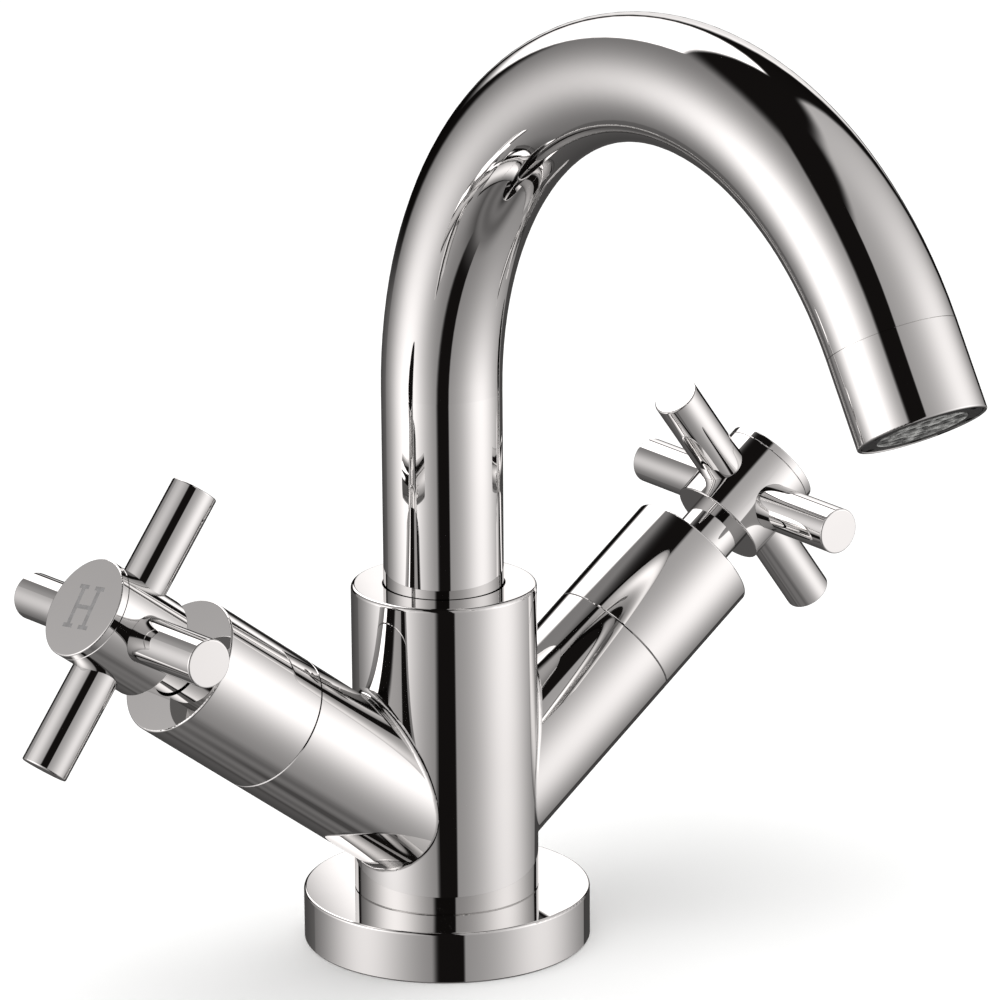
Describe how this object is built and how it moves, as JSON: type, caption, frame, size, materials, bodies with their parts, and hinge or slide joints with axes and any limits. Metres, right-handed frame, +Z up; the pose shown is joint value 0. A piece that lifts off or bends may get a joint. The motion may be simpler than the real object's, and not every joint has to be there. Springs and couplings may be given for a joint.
{
  "type": "bathroom mixer faucet",
  "caption": "Deck-mounted basin mixer with a swivelling swan-neck spout and two cross handles on inclined valve arms rising from one round column.",
  "frame": {"origin": "centre of the base flange, on the deck surface", "axes": "+Z up along the body's column and the spout's riser; the spout points along -Y towards the user at rest; the hot arm runs towards -X and the cold arm towards +X"},
  "size_m": [0.1792, 0.1708, 0.183],
  "materials": {
    "chrome_plate": "mirror polished nickel-chrome plate on brass",
    "brass": "turned brass, machined finish",
    "stainless_steel": "turned stainless steel",
    "screen_steel": "woven stainless wire screen",
    "black_rubber": "smooth EPDM rubber",
    "white_acetal": "moulded acetal",
    "grey_acetal": "moulded acetal",
    "black_acetal": "moulded acetal",
    "grey_enamel": "fired enamel, satin",
    "ceramic": "lapped alumina",
    "red_fibre": "pressed fibre"
  },
  "bodies": {
    "base": {"base_flange": "chrome_plate", "deck_seal": "black_rubber", "body": "chrome_plate", "spout_lock_screw": "stainless_steel", "spout_glide_ring": "white_acetal", "hot_seat_seal": "black_rubber", "hot_fixed_disc": "ceramic", "hot_cartridge_body": "brass", "hot_cartridge_gasket": "red_fibre", "hot_bonnet": "chrome_plate", "hot_bonnet_o_ring": "black_rubber", "cold_seat_seal": "black_rubber", "cold_fixed_disc": "ceramic", "cold_cartridge_body": "brass", "cold_cartridge_gasket": "red_fibre", "cold_bonnet": "chrome_plate", "cold_bonnet_o_ring": "black_rubber"},
    "spout": {"spout_nipple": "brass", "spout_o_rings": "black_rubber", "spout_tube": "chrome_plate", "outlet_sleeve": "chrome_plate", "aerator_washer": "black_rubber", "aerator_housing": "black_acetal", "aerator_insert": "white_acetal", "aerator_screens": "screen_steel", "flow_straightener": "grey_acetal"},
    "hot_handle": {"hot_moving_disc": "ceramic", "hot_spindle": "brass", "hot_spindle_o_rings": "black_rubber", "hot_spindle_clip": "stainless_steel", "hot_stem_extension": "chrome_plate", "hot_handle_hub": "chrome_plate", "hot_handle_spokes": "chrome_plate", "hot_handle_screw": "stainless_steel", "hot_index_cap": "chrome_plate", "hot_index_mark": "grey_enamel"},
    "cold_handle": {"cold_moving_disc": "ceramic", "cold_spindle": "brass", "cold_spindle_o_rings": "black_rubber", "cold_spindle_clip": "stainless_steel", "cold_stem_extension": "chrome_plate", "cold_handle_hub": "chrome_plate", "cold_handle_spokes": "chrome_plate", "cold_handle_screw": "stainless_steel", "cold_index_cap": "chrome_plate", "cold_index_mark": "grey_enamel"}
  },
  "joints": [
    {"name": "spout_swivel", "type": "hinge", "parent": "base", "child": "spout", "pos_m": [0, 0, 0.0615], "axis": [0, 0, 1], "range_deg": [-60, 60]},
    {"name": "hot_handle_turn", "type": "hinge", "parent": "base", "child": "hot_handle", "pos_m": [-0.06948, 0, 0.07236], "axis": [-0.7986, 0, 0.6018], "range_deg": [0, 90]},
    {"name": "cold_handle_turn", "type": "hinge", "parent": "base", "child": "cold_handle", "pos_m": [0.06948, 0, 0.07236], "axis": [0.7986, 0, 0.6018], "range_deg": [0, 90]}
  ]
}
